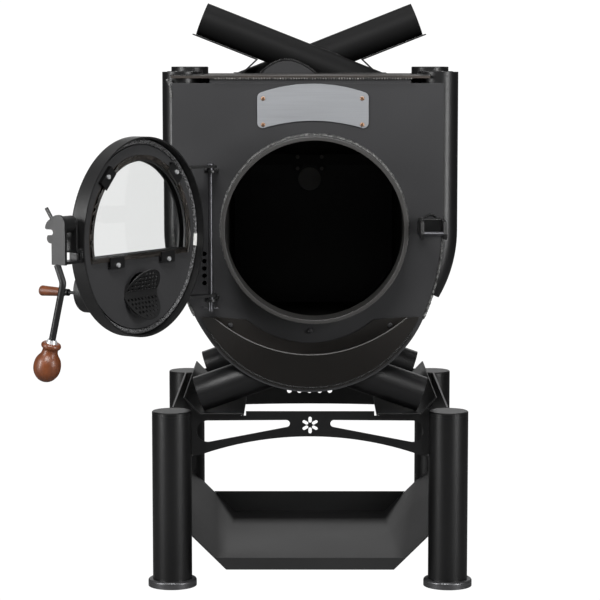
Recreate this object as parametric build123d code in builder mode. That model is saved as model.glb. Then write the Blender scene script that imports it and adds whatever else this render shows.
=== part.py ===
from build123d import *
from math import atan2, cos, hypot, radians, sin, tan
import os

os.makedirs("parts", exist_ok=True)

# Warm-air wood stove: a round-bellied steel firebox carried by its air inlets on a stand of four
# tubular legs, with a folded wood tray between the legs. Millimetres, Z up, the door side faces -Y,
# and the origin lies on the floor in the middle of the four legs. The round door stands open.

# General plates and gaps
clear = 0.3
weld_plate = 5.0
sheet = 3.0

# Stand
leg_od = 76.1
leg_wall = 3.0
leg_half_span_x = 267.0
leg_half_span_y = 280.0
stand_height = 342.0
cap_thickness = 8.0
cap_chamfer = 1.6
cap_seam_step = 0.8
foot_od = 94.0
foot_height = 14.0
foot_seat_depth = 8.0
foot_round = 4.0
member_thickness = 4.0
member_arch_bottom = 255.0
member_arch_crest = 292.0
member_top = 341.0
member_ear_top = 346.0
member_ear_reach = 14.0
member_ear_width = 5.0
slot_big_x = 197.5
slot_big_z = 302.0
slot_big_r = 21.0
slot_small_x = 46.0
slot_small_z = 317.0
slot_small_r = 7.0
vent_slots = 6
vent_ring_r = 10.5
vent_slot_r = 3.2
vent_slot_length = 12.0
vent_centre_z = 314.0
rear_member_bottom = 264.5
rear_member_crest = 269.0
rear_slot_count = 5
rear_slot_pitch = 22.0
rear_slot_r = 5.0
rear_slot_length = 16.0
rear_slot_z = 300.0
side_rail_top = 343.0
side_rail_depth = 75.0

# Cradle rails that the body rests on
rail_floor_z = 340.0
rail_inner_x = 131.0
rail_fold_x = 211.0
rail_outer_x = 241.5
rail_outer_z = 372.0
rail_lip = 4.0
rail_overhang = 20.0
rail_rear_y = 300.0
rail_flange_y = 212.0

# Wood tray
tray_floor_z = 33.0
tray_half_width = 162.5
tray_side_x = 262.0
tray_side_z = 132.0
tray_front_y = -282.0
tray_rear_y = 263.0
tray_front_lip = 21.0
tray_rear_lip = 45.0
tray_sheet = 2.5

# Firebox body
front_y = -310.0
rear_y = 300.0
top_z = 985.0
front_plate_top = 971.0
body_bottom = 382.6
shoulder_z = 700.0
shell_half = 249.0
belly_ease = 14.0
belly_radius = shell_half - belly_ease
plate_lap_left = 12.5
plate_lap_right = 3.0
front_half_left = shell_half + plate_lap_left
front_half_right = shell_half + plate_lap_right
shell_inset = 3.0
shell_thickness = 4.0
lip_overhang = 17.0
lip_overhang = 1.5
lip_left = front_half_left + lip_overhang
lip_notch = 26.0
lip_right = front_half_right - lip_notch
header_width = 190.0
header_depth = 10.0
header_drop = 12.0

# Side air tubes
tube_od = 70.0
tube_wall = 3.0
tube_sink = 2.5
tube_x = shell_half - tube_sink
tube_bend_radius = 223.0
tube_bend_z = 690.0
tube_foot_angle = 30.0
tube_top = 992.0
front_tube_y = front_y + weld_plate + tube_od / 2 + 2 * clear
middle_tube_y = -115.0
front_trim = 14.0
collar_tube_y = 75.0
outlet_collar_od = 76.0
outlet_collar_height = 15.0
outlet_front_y = 190.0
outlet_rear_y = 232.0
outlet_rise = 21.5
outlet_end_x = 226.0
outlet_end_z = 1099.0
outlet_bend_radius = 120.0

# Guards and saddle of the crossing tubes
heat_guard_sheet = 2.5
heat_guard_depth = 60.0
heat_guard_foot_x = 145.0
heat_guard_knee_x = 111.0
heat_guard_end_x = 244.0
saddle_left = -104.0
saddle_right = 14.0
saddle_height = 29.5
saddle_thickness = 5.0

# Lower air inlets
inlet_od = 69.0
inlet_wall = 3.0
inlet_rise = 19.3
inlet_end_x = 214.7
inlet_front_y = front_y + weld_plate + inlet_od / 2 + clear
inlet_rear_y = 108.0

# Door opening
mouth_x = 8.0
mouth_z = 697.0
mouth_outer_r = 176.0
mouth_wall = 8.0
mouth_front_y = -375.0
mouth_rear_y = -301.0

# Firebox inside
liner_half = 170.0
liner_floor_half = 112.0
liner_floor_z = 490.0
liner_corner_z = 562.0
liner_top_z = 800.0
liner_sheet = 4.0
baffle_front_y = -180.0
baffle_front_z = 868.0
baffle_rear_z = 816.0
baffle_drop = 28.0
baffle_thickness = 5.0
keeper_half = 36.0
keeper_height = 34.0
keeper_thickness = 4.0
keeper_bolt_x = 26.0
keeper_bolt_side = 9.0
port_cover_r = 25.0
port_cover_z = 758.0
port_cover_thickness = 4.0
flue_od = 150.0
flue_wall = 3.0
flue_z = 893.0
flue_length = 60.0

# Name plate, bare of any lettering
badge_x = 5.0
badge_half = 105.0
badge_crest_z = 970.0
badge_shoulder_z = 951.0
badge_bottom_crest_z = 900.0
badge_corner_z = 882.5
badge_corner_r = 10.0
badge_thickness = 3.0
rivet_head_r = 4.0
rivet_head = 2.0
rivet_left = 94.0
rivet_right = 93.0
rivet_high_z = 942.0
rivet_low_z = 893.0

# Ash lip under the door
ash_tip_x = 184.0
ash_tip_z = 528.0
ash_shoulder_x = 121.0
ash_shoulder_z = 523.0
ash_arc_bottom_z = 478.0
ash_plate = 3.0
ash_lip_inset = 5.0
scoop_inset = 9.0
scoop_foot_r = belly_radius - scoop_inset
scoop_reach = 60.0
scoop_tip_reach = 18.0
scoop_rim_z = 462.0
scoop_sheet = 3.0
ash_screw_x = 152.0
ash_screw_z = 512.0
ash_screw_mid_z = 501.0
ash_screw_r = 5.0
ash_screw_head = 4.0

# Catch for the latch
catch_left_x = 208.0
catch_right_x = 250.0
catch_ear = 6.0
catch_reach = 108.0
catch_ear_height = 30.0
catch_pin_d = 8.0
catch_pin_z = 694.0
catch_top_z = 716.0
catch_stop_height = 24.0
catch_back = 14.0

# Hinge
hinge_x = -187.2
hinge_y = -361.0
hinge_rod_d = 9.0
hinge_rod_head_d = 13.0
hinge_rod_head = 3.0
leaf_thickness = 5.0
leaf_radius = 12.0
leaf_rise = 122.0
leaf_drop = 120.0
leaf_top_z = mouth_z + leaf_rise
leaf_bottom_z = mouth_z - leaf_drop
leaf_gap = 4.5
leaf_spacer_d = 14.0
cotter_z = 545.0
cotter_ring_r = 14.0
cotter_wire_d = 2.4
pin_clearance = 0.1
lever_hole_d = 9.0
lever_hole_pitch = 14.0
lever_hole_count = 5
lever_hole_x = 201.0
lever_hole_top_z = 648.0

# Door, in distances along it from the hinge axis and towards the firebox
door_open_angle = 122.8
door_centre = mouth_x - hinge_x
door_radius = 181.0
door_rim_wall = 3.0
door_rim_n = -4.0
door_depth = 32.0
door_skin = 4.0
door_edge_round = 5.0
gasket_d = 11.0
gasket_mean_r = mouth_outer_r - mouth_wall / 2
channel_wall = 3.0
inner_plate = 4.0
window_radius = 137.0
window_bottom = -28.0
glass_radius = 148.0
glass_bottom = -38.0
glass_thickness = 4.0
glass_seal_width = 8.0
glass_seal = 2.0
clip_length = 40.0
clip_width = 20.0
clip_thickness = 2.0
clip_lap = 4.0
clip_high = (102.0, 113.0)
clip_low = (76.0, -45.0)
clip_screw_r = 4.0
clip_screw_head = 3.0
clip_screw_shank = 4.0
intake_below = 103.0
intake_r = 42.0
intake_wall = 3.0
intake_length = 100.0
guard_radius = 48.0
guard_tilt = 32.0
guard_strip = 10.0
guard_sheet = 1.5
guard_hole_r = 2.9
guard_pitch = 10.0
guard_border = 5.5
bridge_width = 14.0
bridge_thickness = 5.0
bridge_depth = 30.0

# Air valve on the intake pipe
valve_disc_r = 42.0
valve_disc_thickness = 3.5
valve_rod_d = 6.0
valve_rod_inner = 33.0
valve_rod_drop = 7.5
knob_tip = 250.0
knob_length = 55.0
knob_front_r = 10.0
knob_back_r = 7.5
knob_boss_r = 6.5
knob_boss = 11.0

# Latch on the door, in distances from the hinge axis, towards the firebox and up
latch_standoff = 40.8
latch_r = door_centre + door_radius + latch_standoff
latch_plate = 6.0
latch_pivot_n = -23.5
latch_pivot_z = 732.0
latch_top_r = 17.5
latch_inner_n = -8.0
latch_outer_n = -37.5
latch_bottom_z = 663.0
claw_tip_n = -51.5
claw_notch_n = -34.0
claw_z = 719.0
claw_half_mouth = 5.0
claw_upper_z = 735.0
claw_lower_z = 704.0
latch_pin_d = 10.0
latch_boss_r = 15.0
latch_strap_rise = 9.8
latch_strap_r = door_centre + door_radius + latch_strap_rise
latch_strap = 5.0
latch_strap_top = 738.0
latch_strap_step = 687.0
latch_strap_low = 664.0
latch_strap_inner = -8.0
latch_strap_outer = -33.0
thumb_pin_d = 6.5
thumb_pin_length = 20.0
thumb_pin_n = -39.0
thumb_pin_z = 744.0
thumb_pin_lean = 34.0
latch_rod_d = 12.0
latch_foot_n = -27.5
latch_knee_n = -15.0
latch_knee_z = 632.0
latch_knee_bend = 16.0
latch_rod_end_n = -40.5
latch_rod_end_z = 532.0
ferrule_r = 10.0
ferrule_length = 6.0
grip_length = 71.0
grip_collar_r = 17.5
grip_collar = 10.0
grip_neck_r = 13.5
grip_belly_r = 24.0


def frontal(y):
    """Plane facing the viewer at depth y, with X to the right and Z up."""
    return Plane.XZ.offset(-y)


def u_outline(left, right, top, inset):
    """Closed outline with straight sides, eased shoulders and a round belly."""
    belly = belly_radius - inset
    belly_centre = body_bottom + belly_radius
    rise = shoulder_z - belly_centre
    ends = {}
    for side, half in ((-1, left), (1, right)):
        side_r = (half**2 + rise**2 - belly**2) / (2 * (half - belly))
        turn = atan2(rise, side_r - half)
        join = (side * belly * cos(turn), belly_centre - belly * sin(turn))
        middle = (side * (half - side_r + side_r * cos(turn / 2)), shoulder_z - side_r * sin(turn / 2))
        ends[side] = (join, middle, (side * half, shoulder_z), (side * half, top))
    with BuildSketch() as outline:
        with BuildLine():
            Line(ends[-1][3], ends[-1][2])
            ThreePointArc(ends[-1][2], ends[-1][1], ends[-1][0])
            ThreePointArc(ends[-1][0], (0, belly_centre - belly), ends[1][0])
            ThreePointArc(ends[1][0], ends[1][1], ends[1][2])
            Line(ends[1][2], ends[1][3])
            Line(ends[1][3], ends[-1][3])
        make_face()
    return outline.sketch


def side_path(side, y, outlet):
    """Centre line of a side tube; with outlet, it bends over the top to its own mouth."""
    foot = radians(tube_foot_angle)
    bend_x = tube_x - tube_bend_radius

    def place(x, z):
        return (side * x, y, z)

    def on_bend(angle):
        return place(bend_x + tube_bend_radius * cos(angle), tube_bend_z - tube_bend_radius * sin(angle))

    rise = radians(outlet_rise)
    corner_z = outlet_end_z - tan(rise) * (outlet_end_x + tube_x)
    tangent = outlet_bend_radius * tan((radians(90) - rise) / 2)
    arc_x = tube_x - outlet_bend_radius
    arc_z = corner_z - tangent
    half_turn = (radians(90) - rise) / 2
    with BuildLine() as path:
        ThreePointArc(on_bend(foot), on_bend(foot / 2), on_bend(0))
        if outlet:
            Line(place(tube_x, tube_bend_z), place(tube_x, arc_z))
            ThreePointArc(
                place(tube_x, arc_z),
                place(
                    arc_x + outlet_bend_radius * cos(half_turn),
                    arc_z + outlet_bend_radius * sin(half_turn),
                ),
                place(tube_x - tangent * cos(rise), corner_z + tangent * sin(rise)),
            )
            Line(
                place(tube_x - tangent * cos(rise), corner_z + tangent * sin(rise)),
                place(-outlet_end_x, outlet_end_z),
            )
        else:
            Line(place(tube_x, tube_bend_z), place(tube_x, tube_top))
    return path.line


def swept(path, radius):
    """Round bar along a path."""
    with BuildPart() as bar:
        with BuildSketch(Plane(origin=path @ 0, z_dir=path % 0)):
            Circle(radius)
        sweep(path=path)
    return bar.part


def inlet_axis(side, y):
    """Plane on an inlet's outer end, its normal pointing up into the body."""
    rise = radians(inlet_rise)
    end_z = rail_floor_z + clear + inlet_od / 2 * cos(rise)
    return Plane(
        origin=(side * inlet_end_x, y, end_z),
        x_dir=(0, 1, 0),
        z_dir=(-side * cos(rise), 0, sin(rise)),
    )


def save(part, name):
    part.label = name
    export_step(part, f"parts/{name}.step")


# Stand: legs, caps and feet
leg_spots = [
    (x, y) for y in (-leg_half_span_y, leg_half_span_y) for x in (-leg_half_span_x, leg_half_span_x)
]
foot_floor = foot_height - foot_seat_depth
cap_z = stand_height - cap_thickness

with BuildPart() as legs:
    with BuildSketch(Plane.XY.offset(foot_floor)):
        with Locations(*leg_spots):
            Circle(leg_od / 2)
            Circle(leg_od / 2 - leg_wall, mode=Mode.SUBTRACT)
    extrude(amount=cap_z - foot_floor)
save(legs.part, "legs")

with BuildPart() as leg_caps:
    with BuildSketch(Plane.XY.offset(cap_z)):
        with Locations(*leg_spots):
            Circle(leg_od / 2 - cap_seam_step)
    extrude(amount=cap_seam_step)
    with BuildSketch(Plane.XY.offset(cap_z + cap_seam_step)):
        with Locations(*leg_spots):
            Circle(leg_od / 2)
    extrude(amount=cap_thickness - cap_seam_step)
    chamfer(leg_caps.edges().group_by(Axis.Z)[-1], length=cap_chamfer)
save(leg_caps.part, "leg_caps")

with BuildPart() as feet:
    with BuildSketch():
        with Locations(*leg_spots):
            Circle(foot_od / 2)
    extrude(amount=foot_height)
    with BuildSketch(Plane.XY.offset(foot_floor)):
        with Locations(*leg_spots):
            Circle(leg_od / 2 + clear)
    extrude(amount=foot_seat_depth, mode=Mode.SUBTRACT)
    outer_rims = feet.edges().group_by(Axis.Z)[-1].filter_by(lambda e: e.radius > leg_od / 2 + 2 * clear)
    fillet(outer_rims, radius=foot_round)
save(feet.part, "feet")

# Cross-members between the legs, with arched undersides
member_end = leg_half_span_x - leg_od / 2 - clear
rail_seat_z = rail_floor_z - sheet - clear
arch_spring_x = member_end - member_ear_reach
ear_x = member_end - member_ear_width
lip_seat_x = rail_inner_x - rail_lip - sheet - clear
lip_seat_z = rail_seat_z - rail_lip - clear


def cross_member_outline(bottom, crest):
    with BuildSketch() as outline:
        with BuildLine():
            Polyline(
                (-arch_spring_x, bottom),
                (-member_end, bottom),
                (-member_end, member_ear_top),
                (-ear_x, member_ear_top),
                (-rail_fold_x - sheet, rail_seat_z),
                (-rail_inner_x - sheet / 2, rail_seat_z),
                (-rail_inner_x - sheet / 2, lip_seat_z),
                (-lip_seat_x, lip_seat_z),
                (-lip_seat_x, member_top),
                (lip_seat_x, member_top),
                (lip_seat_x, lip_seat_z),
                (rail_inner_x + sheet / 2, lip_seat_z),
                (rail_inner_x + sheet / 2, rail_seat_z),
                (rail_fold_x + sheet, rail_seat_z),
                (ear_x, member_ear_top),
                (member_end, member_ear_top),
                (member_end, bottom),
                (arch_spring_x, bottom),
            )
            ThreePointArc((arch_spring_x, bottom), (0, crest), (-arch_spring_x, bottom))
        make_face()
    return outline.sketch


with BuildPart() as front_cross_member:
    with BuildSketch(frontal(-leg_half_span_y - member_thickness / 2)):
        add(cross_member_outline(member_arch_bottom, member_arch_crest))
        for side in (-1, 1):
            with BuildSketch(mode=Mode.SUBTRACT):
                with Locations((side * slot_big_x, slot_big_z)):
                    Circle(slot_big_r)
                with Locations((side * slot_small_x, slot_small_z)):
                    Circle(slot_small_r)
                make_hull()
        with Locations((0, vent_centre_z)):
            with PolarLocations(vent_ring_r, vent_slots, start_angle=90):
                SlotOverall(vent_slot_length, 2 * vent_slot_r, mode=Mode.SUBTRACT)
    extrude(amount=-member_thickness)
save(front_cross_member.part, "front_cross_member")

with BuildPart() as rear_cross_member:
    with BuildSketch(frontal(leg_half_span_y - member_thickness / 2)):
        add(cross_member_outline(rear_member_bottom, rear_member_crest))
        with Locations((0, rear_slot_z)):
            with GridLocations(rear_slot_pitch, 1, rear_slot_count, 1):
                SlotOverall(rear_slot_length, 2 * rear_slot_r, rotation=90, mode=Mode.SUBTRACT)
    extrude(amount=-member_thickness)
save(rear_cross_member.part, "rear_cross_member")

side_rail_half = leg_half_span_y - leg_od / 2 - clear
with BuildPart() as side_rails:
    with BuildSketch(Plane.XY.offset(side_rail_top - side_rail_depth)):
        with Locations((-leg_half_span_x, 0), (leg_half_span_x, 0)):
            Rectangle(member_thickness, 2 * side_rail_half)
    extrude(amount=side_rail_depth)
save(side_rails.part, "side_rails")

# Cradle rails: folded gutters that run front to back, their slanted flange cut short at the rear
rail_front_y = -leg_half_span_y - rail_overhang
with BuildPart() as cradle_rails:
    for side in (-1, 1):
        with BuildSketch(frontal(rail_front_y)):
            with BuildLine():
                Polyline(
                    (side * (rail_inner_x - rail_lip), rail_floor_z - rail_lip),
                    (side * rail_inner_x, rail_floor_z),
                    (side * rail_fold_x, rail_floor_z),
                    (side * rail_outer_x, rail_outer_z),
                )
                offset(amount=sheet, side=Side.LEFT if side < 0 else Side.RIGHT)
            make_face()
        extrude(amount=-(rail_rear_y - rail_front_y))
        with BuildSketch(Plane.XY.offset(rail_floor_z - 2 * sheet)):
            with Locations((side * (rail_fold_x + sheet), rail_flange_y)):
                outer_end = Align.MIN if side > 0 else Align.MAX
                Rectangle(rail_outer_x, rail_rear_y, align=(outer_end, Align.MIN))
        extrude(amount=rail_outer_z, mode=Mode.SUBTRACT)
save(cradle_rails.part, "cradle_rails")

# Wood tray: one folded sheet whose slanted sides are notched round the legs
with BuildPart() as wood_tray:
    with BuildSketch(frontal(tray_front_y)):
        with BuildLine():
            Polyline(
                (-tray_side_x, tray_side_z),
                (-tray_half_width, tray_floor_z),
                (tray_half_width, tray_floor_z),
                (tray_side_x, tray_side_z),
            )
            offset(amount=tray_sheet, side=Side.RIGHT)
        make_face()
    extrude(amount=-(tray_rear_y - tray_front_y))
    for lip_y, lip_height, lip_dir in ((tray_front_y, tray_front_lip, -1), (tray_rear_y, tray_rear_lip, 1)):
        with BuildSketch(frontal(lip_y)):
            with BuildLine():
                Polyline(
                    (-tray_half_width, tray_floor_z - tray_sheet),
                    (-tray_half_width - lip_height, tray_floor_z + lip_height),
                    (tray_half_width + lip_height, tray_floor_z + lip_height),
                    (tray_half_width, tray_floor_z - tray_sheet),
                    close=True,
                )
            make_face()
        extrude(amount=-lip_dir * tray_sheet)
    with BuildSketch(Plane.XY.offset(foot_height)):
        with Locations(*leg_spots):
            Circle(leg_od / 2 + clear)
    extrude(amount=tray_side_z, mode=Mode.SUBTRACT)
save(wood_tray.part, "wood_tray")

# Side air tubes: cores first, because the shell and the plates are cut to them
straight_tube_ys = (front_tube_y, middle_tube_y, collar_tube_y)
tube_paths = {}
for side in (-1, 1):
    for y in straight_tube_ys:
        tube_paths[(side, y)] = side_path(side, y, False)
left_mouth_path = side_path(1, outlet_front_y, True)
right_mouth_path = side_path(-1, outlet_rear_y, True)
tube_bore_r = tube_od / 2 - tube_wall
tube_cores = [swept(path, tube_od / 2 + clear) for path in tube_paths.values()]
left_mouth_core = swept(left_mouth_path, tube_od / 2 + clear)
right_mouth_core = swept(right_mouth_path, tube_od / 2 + clear)
tube_cores += [left_mouth_core, right_mouth_core]
front_trims = [
    swept(side_path(side, front_tube_y - front_trim, False), tube_od / 2) for side in (-1, 1)
]


def tube_solid(path):
    """Tube with its real wall along a path."""
    with BuildPart() as tube:
        with BuildSketch(Plane(origin=path @ 0, z_dir=path % 0)):
            Circle(tube_od / 2)
            Circle(tube_bore_r, mode=Mode.SUBTRACT)
        sweep(path=path)
    return tube.part


for side, side_name in ((-1, "left"), (1, "right")):
    with BuildPart() as side_tubes:
        for y in straight_tube_ys:
            add(tube_solid(tube_paths[(side, y)]))
    save(side_tubes.part, f"air_tubes_{side_name}")

with BuildPart() as outlet_to_left:
    add(tube_solid(left_mouth_path))
save(outlet_to_left.part, "outlet_tube_to_left")

with BuildPart() as outlet_to_right:
    add(tube_solid(right_mouth_path))
    add(left_mouth_core, mode=Mode.SUBTRACT)
save(outlet_to_right.part, "outlet_tube_to_right")

with BuildPart() as outlet_collars:
    with BuildSketch(Plane.XY.offset(top_z)):
        with Locations((-tube_x, collar_tube_y), (tube_x, collar_tube_y)):
            Circle(outlet_collar_od / 2)
            Circle(tube_od / 2 + clear, mode=Mode.SUBTRACT)
    extrude(amount=outlet_collar_height)
    fillet(outlet_collars.edges().group_by(Axis.Z)[-1], radius=1.0)
save(outlet_collars.part, "outlet_collars")

# Heat guards: thin bent sheets under the free ends of the crossing tubes
slope = radians(outlet_rise)
guard_gap = (tube_od / 2 + clear + heat_guard_sheet / 2) / cos(slope)
knee_z = outlet_end_z - (outlet_end_x - heat_guard_knee_x) * tan(slope) - guard_gap
guard_end_z = outlet_end_z + (heat_guard_end_x - outlet_end_x) * tan(slope) - guard_gap
with BuildPart() as heat_guards:
    for side, tube_y in ((-1, outlet_front_y), (1, outlet_rear_y)):
        with BuildSketch(frontal(tube_y - heat_guard_depth / 2)):
            with BuildLine():
                Polyline(
                    (side * heat_guard_foot_x, top_z - heat_guard_sheet),
                    (side * heat_guard_knee_x, knee_z),
                    (side * heat_guard_end_x, guard_end_z),
                )
                offset(amount=heat_guard_sheet / 2, side=Side.BOTH)
            make_face()
            with Locations((0, top_z)):
                Rectangle(
                    2 * lip_left,
                    4 * heat_guard_sheet,
                    align=(Align.CENTER, Align.MAX),
                    mode=Mode.SUBTRACT,
                )
        extrude(amount=-heat_guard_depth)
    add(left_mouth_core, mode=Mode.SUBTRACT)
    add(right_mouth_core, mode=Mode.SUBTRACT)
save(heat_guards.part, "heat_guards")

# Saddle plate under the crossing, welded to the top plate and the front tube
saddle_y = outlet_front_y - tube_od / 2 - saddle_thickness
with BuildPart() as saddle:
    with BuildSketch(frontal(saddle_y)):
        with BuildLine():
            Spline(
                (saddle_left, top_z),
                (saddle_left + 0.2 * (saddle_right - saddle_left), top_z + 0.68 * saddle_height),
                (saddle_left + 0.46 * (saddle_right - saddle_left), top_z + saddle_height),
                (saddle_left + 0.74 * (saddle_right - saddle_left), top_z + 0.72 * saddle_height),
                (saddle_right, top_z),
            )
            Line((saddle_right, top_z), (saddle_left, top_z))
        make_face()
    extrude(amount=-saddle_thickness)
save(saddle.part, "crossing_saddle")

# Firebox shell: a bent sheet between front and rear plates, its strips welded between the tubes
shell_front_y = front_y + weld_plate
shell_rear_y = rear_y - weld_plate
inlet_spots = [(side, y) for side in (-1, 1) for y in (inlet_front_y, inlet_rear_y)]

with BuildPart() as shell_core:
    with BuildSketch(frontal(shell_front_y)):
        add(u_outline(shell_half, shell_half, top_z - weld_plate, shell_inset))
    extrude(amount=-(shell_rear_y - shell_front_y))

with BuildPart() as inlet_bores:
    for side, y in inlet_spots:
        with BuildSketch(inlet_axis(side, y)):
            Circle(inlet_od / 2 - inlet_wall)
        extrude(amount=inlet_end_x)

with BuildPart() as shell:
    with BuildSketch(frontal(shell_front_y)):
        add(u_outline(shell_half, shell_half, top_z - weld_plate, shell_inset))
        add(
            u_outline(
                shell_half - shell_thickness,
                shell_half - shell_thickness,
                top_z,
                shell_inset + shell_thickness,
            ),
            mode=Mode.SUBTRACT,
        )
    extrude(amount=-(shell_rear_y - shell_front_y))
    for core in tube_cores + front_trims:
        add(core, mode=Mode.SUBTRACT)
    add(inlet_bores.part, mode=Mode.SUBTRACT)
save(shell.part, "firebox_shell")

# Air inlets: short tubes butted on the shell, standing on the cradle rails
for y, inlet_name in ((inlet_front_y, "front"), (inlet_rear_y, "rear")):
    with BuildPart() as inlets:
        for side in (-1, 1):
            with BuildSketch(inlet_axis(side, y)):
                Circle(inlet_od / 2)
                Circle(inlet_od / 2 - inlet_wall, mode=Mode.SUBTRACT)
            extrude(amount=inlet_end_x)
        add(shell_core.part, mode=Mode.SUBTRACT)
    save(inlets.part, f"air_inlets_{inlet_name}")

# Front plate with the door mouth, the lever holes and the ash-lip screw holes
ash_screws = [(-ash_screw_x, ash_screw_z), (0, ash_screw_mid_z), (ash_screw_x, ash_screw_z)]
ash_hole_r = ash_screw_r / 2
lever_holes_z = [lever_hole_top_z - i * lever_hole_pitch for i in range(lever_hole_count)]

with BuildPart() as front_plate:
    with BuildSketch(frontal(front_y)):
        add(u_outline(front_half_left, front_half_right, front_plate_top, 0))
        with Locations((mouth_x, mouth_z)):
            Circle(mouth_outer_r + clear, mode=Mode.SUBTRACT)
        with Locations(*ash_screws):
            Circle(ash_hole_r, mode=Mode.SUBTRACT)
        with Locations(*[(-lever_hole_x, z) for z in lever_holes_z]):
            Circle(lever_hole_d / 2, mode=Mode.SUBTRACT)
    extrude(amount=-weld_plate)
save(front_plate.part, "front_plate")

with BuildPart() as rear_plate:
    with BuildSketch(frontal(shell_rear_y)):
        add(u_outline(shell_half + shell_inset, shell_half + shell_inset, top_z - weld_plate, 0))
        with Locations((0, flue_z)):
            Circle(flue_od / 2 - flue_wall, mode=Mode.SUBTRACT)
    extrude(amount=-weld_plate)
save(rear_plate.part, "rear_plate")

with BuildPart() as header_bar:
    with BuildSketch(Plane.XY.offset(front_plate_top - header_drop)):
        with Locations((0, shell_front_y + header_depth / 2)):
            Rectangle(2 * header_width, header_depth)
    extrude(amount=top_z - weld_plate - front_plate_top + header_drop)
save(header_bar.part, "header_bar")

# Top plate, notched at the right front corner round the first tube
lip_front_y = front_y - lip_overhang
with BuildPart() as top_plate:
    with BuildSketch(Plane.XY.offset(top_z - weld_plate)):
        with BuildLine():
            Polyline(
                (-lip_left, lip_front_y),
                (lip_right, lip_front_y),
                (lip_right, front_tube_y),
                (lip_left, front_tube_y),
                (lip_left, rear_y),
                (-lip_left, rear_y),
                close=True,
            )
        make_face()
    extrude(amount=weld_plate)
    for core in tube_cores:
        add(core, mode=Mode.SUBTRACT)
save(top_plate.part, "top_plate")

# Door mouth: the round collar that the door closes on
with BuildPart() as door_collar:
    with BuildSketch(frontal(mouth_front_y)):
        with Locations((mouth_x, mouth_z)):
            Circle(mouth_outer_r)
            Circle(mouth_outer_r - mouth_wall, mode=Mode.SUBTRACT)
    extrude(amount=-(mouth_rear_y - mouth_front_y))
    fillet(door_collar.edges().group_by(Axis.Y)[0], radius=1.5)
save(door_collar.part, "door_collar")

# Firebox liner: a folded trough, with the baffle over it
liner_front_y = mouth_rear_y + 2.0
liner_rear_y = shell_rear_y
with BuildPart() as firebox_liner:
    with BuildSketch(frontal(liner_front_y)):
        with BuildLine():
            Polyline(
                (mouth_x - liner_half, liner_top_z),
                (mouth_x - liner_half, liner_corner_z),
                (mouth_x - liner_floor_half, liner_floor_z),
                (mouth_x + liner_floor_half, liner_floor_z),
                (mouth_x + liner_half, liner_corner_z),
                (mouth_x + liner_half, liner_top_z),
            )
            offset(amount=liner_sheet, side=Side.RIGHT)
        make_face()
    extrude(amount=-(liner_rear_y - liner_front_y))
save(firebox_liner.part, "firebox_liner")

with BuildPart() as baffle_plate:
    with BuildSketch(Plane.YZ.offset(mouth_x - liner_half)):
        with BuildLine():
            Polyline(
                (baffle_front_y, baffle_front_z),
                (shell_rear_y, baffle_rear_z),
                (shell_rear_y, baffle_rear_z - baffle_drop),
                (shell_rear_y - baffle_thickness, baffle_rear_z - baffle_drop),
                (shell_rear_y - baffle_thickness, baffle_rear_z - baffle_thickness),
                (baffle_front_y, baffle_front_z - baffle_thickness),
                close=True,
            )
        make_face()
    extrude(amount=2 * liner_half)
save(baffle_plate.part, "baffle_plate")

keeper_y = shell_rear_y - baffle_thickness
keeper_top = baffle_rear_z - baffle_thickness - 1.0
with BuildPart() as baffle_keeper:
    with BuildSketch(frontal(keeper_y - keeper_thickness)):
        with Locations((0, keeper_top - keeper_height / 2)):
            Rectangle(2 * keeper_half, keeper_height)
        with Locations((0, keeper_top - keeper_height)):
            Circle(keeper_half / 2, mode=Mode.SUBTRACT)
    extrude(amount=-keeper_thickness)
save(baffle_keeper.part, "baffle_keeper")

keeper_bolt_zs = (keeper_top - keeper_bolt_side / 2, keeper_top - keeper_height + keeper_bolt_side / 2)
with BuildPart() as keeper_bolts:
    with BuildSketch(frontal(keeper_y - keeper_thickness)):
        with Locations(*[(x, z) for x in (-keeper_bolt_x, keeper_bolt_x) for z in keeper_bolt_zs]):
            RegularPolygon(keeper_bolt_side / 2, 6)
    extrude(amount=keeper_thickness)
save(keeper_bolts.part, "keeper_bolts")

with BuildPart() as port_cover:
    with BuildSketch(frontal(shell_rear_y - port_cover_thickness)):
        with Locations((0, port_cover_z)):
            Circle(port_cover_r)
    extrude(amount=-port_cover_thickness)
    chamfer(port_cover.edges().group_by(Axis.Y)[0], length=1.0)
save(port_cover.part, "rear_port_cover")

with BuildPart() as flue_spigot:
    with BuildSketch(frontal(rear_y)):
        with Locations((0, flue_z)):
            Circle(flue_od / 2)
            Circle(flue_od / 2 - flue_wall, mode=Mode.SUBTRACT)
    extrude(amount=-flue_length)
save(flue_spigot.part, "flue_spigot")

# Bare name plate with its rivets
with BuildPart() as badge:
    with BuildSketch(frontal(front_y - badge_thickness)):
        with BuildLine():
            ThreePointArc(
                (badge_x - badge_half, badge_shoulder_z),
                (badge_x, badge_crest_z),
                (badge_x + badge_half, badge_shoulder_z),
            )
            Line((badge_x + badge_half, badge_shoulder_z), (badge_x + badge_half, badge_corner_z))
            ThreePointArc(
                (badge_x + badge_half, badge_corner_z),
                (badge_x, badge_bottom_crest_z),
                (badge_x - badge_half, badge_corner_z),
            )
            Line((badge_x - badge_half, badge_corner_z), (badge_x - badge_half, badge_shoulder_z))
        make_face()
    extrude(amount=-badge_thickness)
    fillet(badge.edges().filter_by(Axis.Y), radius=badge_corner_r)
save(badge.part, "name_plate")

rivet_spots = [
    (x, z) for x in (badge_x - rivet_left, badge_x + rivet_right) for z in (rivet_low_z, rivet_high_z)
]
with BuildPart() as rivets:
    with BuildSketch(frontal(front_y - badge_thickness)):
        with Locations(*rivet_spots):
            Circle(rivet_head_r)
    extrude(amount=rivet_head)
    fillet(rivets.edges().group_by(Axis.Y)[0], radius=rivet_head * 0.8)
save(rivets.part, "name_plate_rivets")

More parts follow.
